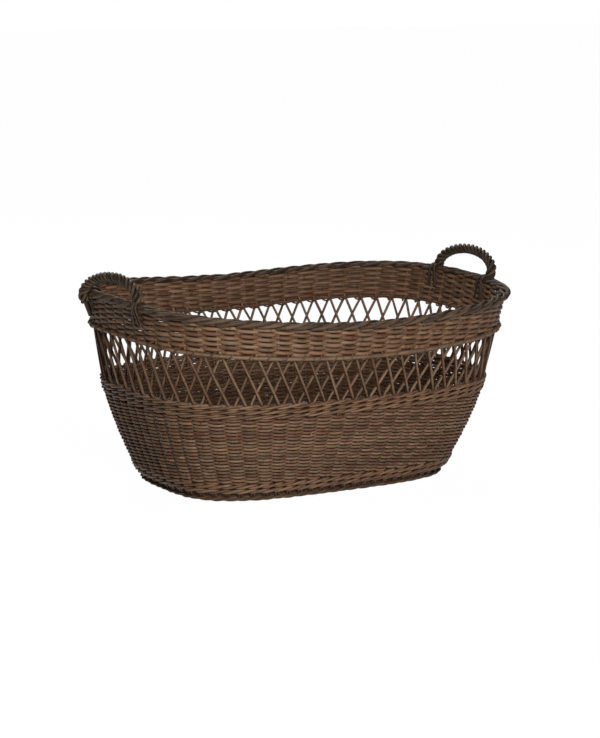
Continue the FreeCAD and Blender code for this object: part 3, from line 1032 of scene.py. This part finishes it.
@dataclass
class Handle:
    """A roped handle: strands twisted round a bow, and rods that lash it to the rim."""

    wall: Wall
    name: str
    side: int
    lean: float
    stations: float
    shift: float                      # stations from the end's middle to the handle's
    strands: int = 4
    strand_diameter: float = 0.0074
    helix_radius: float = 0.0063
    pitch: float = 0.050
    seat: tuple[float, float] = (0.004, 0.004)      # each leg's distance out of the wall
    depth: tuple[float, float] = (0.008, 0.008)     # how far the rope goes down each leg
    neck: tuple[float, float] = (0.006, 0.006)      # each knee's height over the rim
    rise: float = 0.042
    leg_slope: float = 0.06           # run towards the wall over drop, with no seat
    seat_slope: float = 20.0          # and what a metre of seat adds to it
    bow_diameter: float = 0.009
    bow_depth: tuple[float, float] = (0.040, 0.040)
    tail_radius: float = 0.0023
    tail_depth: float = 0.032
    tail_tuck: float = 0.0095         # how far out of the wall's middle a tail ends
    seed: int = 71

    @property
    def middle(self) -> float:
        """The turn at the handle's middle."""
        return (0.0 if self.side > 0 else 0.5) + self.shift / STATIONS

    def knees(self) -> tuple[Array, Array]:
        """Where the bow's arch ends on its two legs, a neck above the rim."""
        turn = self.middle + np.array([-1.0, 1.0]) * self.stations / STATIONS
        points = self.wall.place(turn, np.full(2, self.wall.rim.height), np.array(self.seat))
        points[:, 2] += self.neck
        return points[0], points[1]

    def line(self, steps: int, depth: tuple[float, float]) -> Array:
        """The bow's middle line.

        Formula: half an ellipse on the two knees that leans outward, with a straight leg of its
        own depth below each, which runs back towards the wall more steeply the larger its seat.

        Args:
            steps: points along the half ellipse.
            depth: how far the first and second legs go down.

        Returns:
            Points from one leg's lower end to the other's.
        """
        first, second = self.knees()
        centre = (first + second) / 2
        across = (first - second) / 2
        up = np.array([self.side * self.lean, 0, self.rise - sum(self.neck) / 2])
        angle = np.linspace(0, np.pi, steps)[:, None]
        arch = centre + across * np.cos(angle) + up * np.sin(angle)
        down = [np.linspace(leg, 0.002, 8)[:, None] for leg in depth]
        slopes = [self.leg_slope + self.seat_slope * seat for seat in self.seat]
        drop = [np.array([-self.side * slope, 0.0, -1.0]) for slope in slopes]
        return np.concatenate([arch[0] + drop[0] * down[0], arch,
                               arch[-1] + drop[1] * down[1][::-1]])

    def rope(self) -> Rods:
        """The twisted strands.

        Formula: each strand circles the bow's middle line at the helix radius, one turn in a
        pitch, and the strands start at even shares of a turn.

        Returns:
            One open rod for each strand.
        """
        rng = np.random.default_rng(self.seed + self.side)
        line = self.line(150, self.depth)
        steps = np.linalg.norm(np.diff(line, axis=0), axis=1)
        walked = np.concatenate([[0.0], np.cumsum(steps)])
        even = np.linspace(0, walked[-1], 230)
        line = np.stack([np.interp(even, walked, line[:, axis]) for axis in range(3)], axis=-1)
        along = unit(np.gradient(line, axis=0))
        out = np.array([float(self.side), 0.0, 0.0])
        inward = unit(np.cross(along, out))
        outward = np.cross(inward, along)
        phase = 2 * np.pi * (even[None, :] / self.pitch + np.arange(self.strands)[:, None]
                             / self.strands)
        wobble = 1 + 0.05 * smooth_noise(rng, self.strands, len(even), 14, closed=False)
        around = (np.cos(phase)[..., None] * outward[None] + np.sin(phase)[..., None] * inward[None])
        paths = line[None] + around * (self.helix_radius * wobble)[..., None]
        size = 1 + 0.06 * smooth_noise(rng, self.strands, len(even), 10, closed=False)
        return Rods(paths, self.strand_diameter / 2 * size, around,
                    rng.uniform(0, 1, (self.strands, 1)), 10)

    def lashings(self) -> Rods:
        """Rods that come up inside the wall, cross over the rim and tuck in outside.

        Formula: half an ellipse round the border, then a straight run down each face of the
        wall, while the rod slips sideways by an even amount.

        Returns:
            Three open rods for each leg.
        """
        rng = np.random.default_rng(self.seed * 3 + self.side)
        legs = np.array([-1, -1, -1, 1, 1, 1])[:, None]
        begin = np.array([-0.013, 0.012, -0.004, -0.012, 0.013, 0.004])[:, None]
        end = np.array([0.007, -0.008, -0.015, 0.008, -0.007, 0.015])[:, None]
        share = np.linspace(0, 1, 44)[None, :]
        border = self.wall.rim.height - BORDER_HALF_HEIGHT
        radius = self.tail_radius
        around = np.radians(np.interp(share, [0, 0.3, 0.7, 1], [190, 180, 0, -10]))
        outward = (BORDER_WIDTH / 2 + radius) * np.cos(around)
        rise = (BORDER_HALF_HEIGHT + radius) * np.sin(around)
        inside = ease((0.3 - share) / 0.3)
        outside = ease((share - 0.7) / 0.3)
        drop = self.tail_depth * np.clip((np.abs(share - 0.5) - 0.2) / 0.3, 0, 1)
        outward = outward * (1 - inside - outside) + self.tail_tuck * 0.9 * (outside - inside)
        turn = self.middle + legs * self.stations / STATIONS + share * 0
        sideways = begin + (end - begin) * share
        height = np.broadcast_to(border - drop, turn.shape)
        outward = np.broadcast_to(outward, turn.shape)
        paths = self.wall.place(turn, height, outward, sideways)
        paths[..., 2] += rise
        core = self.wall.place(turn, height, outward * 0, sideways)
        size = (1 - 0.3 * np.abs(2 * share - 1) ** 4) * (1 + 0.1 * rng.uniform(-1, 1, legs.shape))
        return Rods(paths, radius * size, paths - core, rng.uniform(0, 1, legs.shape), 8)

    def build(self, finish: WillowFinish) -> None:
        """Adds the bow, its rope and its lashings.

        Args:
            finish: what the handle looks like.
        """
        bow_line = self.line(60, self.bow_depth)[None]
        bow = Rods(bow_line, self.bow_diameter / 2, np.array([float(self.side), 0.0, 0.0]),
                   np.full((1, 1), 0.3), 10)
        put(f"{self.name}_bow_rod", bow, finish, [f"{self.name}_bow"])
        put(f"{self.name}_rope", self.rope(), finish, [f"{self.name}_wrap"])
        put(f"{self.name}_tails", self.lashings(), finish,
            [f"{self.name}_lashings"])


# ---------------------------------------------------------------- base


@dataclass
class Base:
    """The woven base: short rods across, long rods along, and rows woven round them."""

    wall: Wall
    row_pitch: float = 0.0041
    rod_diameter: float = 0.0062
    cross_count: int = 9
    cross_spacing: float = 0.052
    long_count: int = 3
    long_spacing: float = 0.020
    core_half_width: float = 0.0012
    edge_heights: tuple[float, ...] = (-0.0082, -0.0040, 0.0, 0.0040)
    edge_radius: float = 0.0024
    wave: float = 0.0036              # how far a row goes over and under the sticks
    outer_row: float = -0.0025        # the first row's depth inside the base's edge
    stick_end_room: float = 0.009
    cross_radius: float = 0.0058
    long_radius: float = 0.0044
    samples: int = 224
    seed: int = 91

    def sizes(self) -> tuple[float, float, float, float]:
        """Half length, half width, middle height and squareness of the base's edge."""
        low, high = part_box("base_weave")
        return high.x, high.y, (low.z + high.z) / 2, self.wall.foot_squareness

    def sticks(self) -> tuple[Rods, Rods]:
        """The rods across and the rods along, which end under the base's edge."""
        length, width, level, power = self.sizes()
        share = np.linspace(-1, 1, 9)[None, :]

        def row(count: int, spacing: float) -> Array:
            """Evenly spaced offsets about the middle."""
            return ((np.arange(count) - (count - 1) / 2) * spacing)[:, None]

        x = row(self.cross_count, self.cross_spacing)
        length, width = length - self.stick_end_room, width - self.stick_end_room
        reach = width * (1 - (np.abs(x) / length) ** power) ** (1 / power)
        flat = np.full((self.cross_count, share.size), level)
        across = np.stack([x + share * 0, reach * share, flat], axis=-1)
        y = row(self.long_count, self.long_spacing)
        reach = length * (1 - (np.abs(y) / width) ** power) ** (1 / power)
        flat = np.full((self.long_count, share.size), level)
        along = np.stack([reach * share, y + share * 0, flat], axis=-1)
        rng = np.random.default_rng(self.seed)
        return (Rods(across, self.cross_radius, UP, rng.uniform(0, 1, (self.cross_count, 1)), 10,
                     flatness=0.62),
                Rods(along, self.long_radius, UP, rng.uniform(0, 1, (self.long_count, 1)), 10,
                     flatness=0.45))

    def weave(self) -> Rods:
        """Rows woven round the base, over one stick and under the next.

        Formula: row by row the oval shrinks by the pitch on every side; the height is the
        middle's plus a cosine that goes half a turn from each stick crossed to the next.

        Returns:
            The rows as closed rods, from the outermost in.
        """
        length, width, level, power = self.sizes()
        rng = np.random.default_rng(self.seed + 1)
        depth = np.arange(self.outer_row, width - self.core_half_width, self.row_pitch)[:, None]
        angle = np.linspace(0, 2 * np.pi, 2881)[None, :-1]
        reach = oval_reach(length - depth, width - depth, power, angle)
        x = reach * np.cos(angle)
        y = reach * np.sin(angle)
        crossed = self.crossings(x, y)
        steps = np.hypot(np.diff(x, axis=1, append=x[:, :1]), np.diff(y, axis=1, append=y[:, :1]))
        walked = np.cumsum(steps, axis=1) - steps
        even = np.arange(self.samples) / self.samples
        picked = [np.interp(even * (w[-1] + s[-1]), w, np.arange(w.size))
                  for w, s in zip(walked, steps)]
        index = np.stack(picked).astype(int)
        x, y, crossed = (np.take_along_axis(values, index, axis=1) for values in (x, y, crossed))
        row = np.arange(len(depth))[:, None]
        count = len(depth)
        height = level + self.wave * np.cos(np.pi * (crossed + row))
        height = height + 0.0003 * smooth_noise(rng, count, self.samples, 24)
        paths = np.stack([x, y, height], axis=-1)
        size = 1 + 0.08 * smooth_noise(rng, count, self.samples, 16)
        return Rods(paths, self.rod_diameter / 2 * size, UP,
                    pieced_tones(rng, count, self.samples, 2), 6, closed=True, flatness=0.7)

    def edge(self) -> Rods:
        """Rods round the base's edge, one above the other."""
        length, width, level, power = self.sizes()
        rng = np.random.default_rng(self.seed + 2)
        angle = np.linspace(0, 2 * np.pi, 361)[None, :-1]
        reach = oval_reach(length, width, power, angle)
        rise = np.array(self.edge_heights)[:, None]
        count, steps = len(rise), angle.shape[1]
        flat = rise * 0 + reach
        height = level + rise + 0.0004 * smooth_noise(rng, count, steps, 40)
        paths = np.stack([flat * np.cos(angle), flat * np.sin(angle), height], axis=-1)
        return Rods(paths, self.edge_radius, UP, pieced_tones(rng, count, steps, 4), closed=True)

    def crossings(self, x: Array, y: Array) -> Array:
        """How many sticks a row has passed at each of its points, with shares between them.

        Formula: along the long sides the count follows X over the cross sticks' spacing, and
        round the ends it follows Y over the long sticks' spacing; both meet at the corners.

        Args:
            x: the points' X.
            y: the points' Y.

        Returns:
            The counts, from the +X end counter-clockwise.
        """
        half = (self.cross_count - 1) / 2 + 0.5
        along = np.clip(x / self.cross_spacing, -half, half)
        ends = (self.long_count - 1) / 2 + 0.5
        across = np.clip(y / self.long_spacing, -ends, ends)
        total = 2 * (2 * half + 2 * ends)
        sides = np.where(y >= 0, ends + (half - along), total / 2 + ends + (along + half))
        right = np.where(across >= 0, across, total + across)
        left = total / 2 - across
        return np.where(np.abs(along) < half, sides, np.where(x > 0, right, left))

    def build(self, stick_finish: WillowFinish, weave_finish: WillowFinish) -> None:
        """Adds the sticks and the woven rows.

        Args:
            stick_finish: what the sticks look like.
            weave_finish: what the woven rows look like.
        """
        across, along = self.sticks()
        put("base_cross_rods", across, stick_finish, ["base_cross_sticks"])
        put("base_long_rods", along, stick_finish, ["base_long_sticks"])
        put("base_woven_rows", self.weave(), weave_finish, ["base_weave"])
        put("base_edge_rows", self.edge(), weave_finish)


# ---------------------------------------------------------------- studio


@dataclass
class Studio:
    """A pale floor and backdrop, soft light and the camera."""

    azimuth: float = -32.89
    elevation: float = 10.96
    roll: float = 1.375
    distance: float = 4.982
    aim: tuple[float, float, float] = (0.0100, -0.0020, 0.2043)
    lens: float = 155.35

    def direction(self, azimuth: float, elevation: float) -> Vector:
        """The way from the aim towards a viewer; azimuth 0 is the front and 90 the right."""
        a, e = math.radians(azimuth), math.radians(elevation)
        return Vector((math.sin(a) * math.cos(e), -math.cos(a) * math.cos(e), math.sin(e)))

    def camera(self) -> None:
        """Adds the camera and makes it the scene's."""
        data = bpy.data.cameras.new("camera")
        data.lens = self.lens
        data.sensor_width = 36.0
        data.sensor_fit = "HORIZONTAL"
        data.clip_start = 0.1
        data.clip_end = 100.0
        camera = bpy.data.objects.new("camera", data)
        back = self.direction(self.azimuth, self.elevation)
        camera.location = Vector(self.aim) + back * self.distance
        camera.rotation_mode = "QUATERNION"
        look = (-back).to_track_quat("-Z", "Y")
        camera.rotation_quaternion = look @ Quaternion((0, 0, 1), math.radians(self.roll))
        bpy.context.scene.collection.objects.link(camera)
        bpy.context.scene.camera = camera

    def lamp(self, name: str, azimuth: float, elevation: float, distance: float, width: float,
             power: float) -> None:
        """Adds a square soft light that looks at the aim.

        Args:
            name: the lamp's name.
            azimuth: degrees round the basket, as for the camera.
            elevation: degrees over the floor.
            distance: metres from the aim.
            width: metres of its side.
            power: watts.
        """
        data = bpy.data.lights.new(name, "AREA")
        data.shape = "SQUARE"
        data.size = width
        data.energy = power
        lamp = bpy.data.objects.new(name, data)
        back = self.direction(azimuth, elevation)
        lamp.location = Vector(self.aim) + back * distance
        lamp.visible_camera = False
        lamp.rotation_mode = "QUATERNION"
        lamp.rotation_quaternion = (-back).to_track_quat("-Z", "Y")
        bpy.context.scene.collection.objects.link(lamp)

    def floor(self) -> None:
        """Adds the floor, which shows near white with a soft shadow."""
        mesh = bpy.data.meshes.new("floor")
        size = 12.0
        mesh.from_pydata([(-size, -size, 0), (size, -size, 0), (size, size, 0), (-size, size, 0)],
                         [], [(0, 1, 2, 3)])
        floor = bpy.data.objects.new("floor", mesh)
        bpy.context.scene.collection.objects.link(floor)
        shader = Shader("floor_paper")
        path = shader.node("ShaderNodeLightPath")
        seen = (path[0] + path[3] + path[7]).maths("MINIMUM", 1.0)
        matt = shader.node("ShaderNodeBsdfDiffuse", None, {"Color": (0.36, 0.36, 0.36, 1)})[0]
        glow = shader.node("ShaderNodeEmission", None, {"Color": (1, 1, 1, 1), "Strength": 1.07})[0]
        both = shader.node("ShaderNodeMixShader", None, {0: seen * 0.92, 1: matt, 2: glow})[0]
        shader.node("ShaderNodeOutputMaterial", None, {"Surface": both})
        mesh.materials.append(shader.material)
        floor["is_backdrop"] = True

    def world(self) -> None:
        """Sets a white surround that lights the basket softly."""
        world = bpy.data.worlds.new("studio")
        world.use_nodes = True
        tree = world.node_tree
        tree.nodes.clear()
        path = tree.nodes.new("ShaderNodeLightPath")
        seen = tree.nodes.new("ShaderNodeMath")
        seen.operation = "MAXIMUM"
        tree.links.new(path.outputs["Is Camera Ray"], seen.inputs[0])
        tree.links.new(path.outputs["Is Transmission Ray"], seen.inputs[1])
        strength = tree.nodes.new("ShaderNodeMapRange")
        strength.inputs["To Min"].default_value = 0.08
        strength.inputs["To Max"].default_value = 1.0
        tree.links.new(seen.outputs[0], strength.inputs["Value"])
        background = tree.nodes.new("ShaderNodeBackground")
        background.inputs["Color"].default_value = (1, 1, 1, 1)
        tree.links.new(strength.outputs[0], background.inputs["Strength"])
        output = tree.nodes.new("ShaderNodeOutputWorld")
        tree.links.new(background.outputs[0], output.inputs["Surface"])
        bpy.context.scene.world = world

    def build(self) -> None:
        """Adds everything round the basket."""
        self.camera()
        self.lamp("key_light", -22.0, 23.0, 2.4, 0.6, 36.0)
        self.lamp("fill_light", 160.0, 42.0, 3.6, 2.0, 55.0)
        self.floor()
        self.world()
        bpy.context.scene.view_settings.view_transform = "Standard"


# ---------------------------------------------------------------- the basket


def main() -> None:
    """Builds the basket's pieces in order, then the studio."""
    logging.basicConfig(level=logging.INFO, format="%(name)s: %(message)s")
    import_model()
    cad = tuple(corner.copy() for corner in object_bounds())
    wall = Wall.from_frame()
    LOG.info("wall: %s", wall)
    Base(wall).build(STAKE, WEAVE)
    foot_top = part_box("foot_border")[1].z
    RolledBorder(wall, "foot_border", half_width=FOOT_WIDTH / 2, half_height=foot_top / 2,
                 rod_diameter=0.0045, span=3.5, start=-150.0, end=200.0, level=foot_top / 2,
                 upright=True, seed=11).build(FOOT)
    Waling(wall, "upsett_wale_rods", ("upsett_wale_round_1", "upsett_wale_round_2"), rounds=2,
           proud=0.0, seed=21).build(WEAVE)
    Siding(wall, "lower_siding", rod_diameter=0.0051, row_pitch=0.0034, parts=2, seed=41,
           reach=0.0044, crest=1.1, flatness=0.88).build(WEAVE)
    Waling(wall, "belt_wale_rods", ("belt_wale_round_1", "belt_wale_round_2"), rounds=3,
           proud=0.0012, seed=25).build(WEAVE)
    Stakes(wall).build(STAKE)
    Hoop(wall).build(STAKE, STAKE)
    Siding(wall, "upper_siding", rod_diameter=0.0078, row_pitch=0.00468, parts=1, seed=47,
           reach=0.0040, crest=0.9, sides=10, room_below=0.0025, room_above=0.0045).build(WEAVE)
    RolledBorder(wall, "rim_border", half_width=0.0120, half_height=0.0080,
                 rod_diameter=0.0078, span=3.2, start=-75.0, end=215.0,
                 level=wall.rim.height - 0.0075, upright=False, seed=61, core=0.5,
                 offset=0.0022).build(BORDER)
    Handle(wall, "left_handle", side=-1, lean=-0.004, stations=2.65, shift=-0.5,
           seat=(0.018, 0.001), depth=(0.012, 0.014), neck=(-0.010, 0.004),
           rise=0.035).build(HANDLE)
    Handle(wall, "right_handle", side=1, lean=0.013, stations=2.4, shift=0.0,
           seat=(0.010, 0.004)).build(HANDLE)
    Studio().build()


if __name__ == "__main__":
    main()
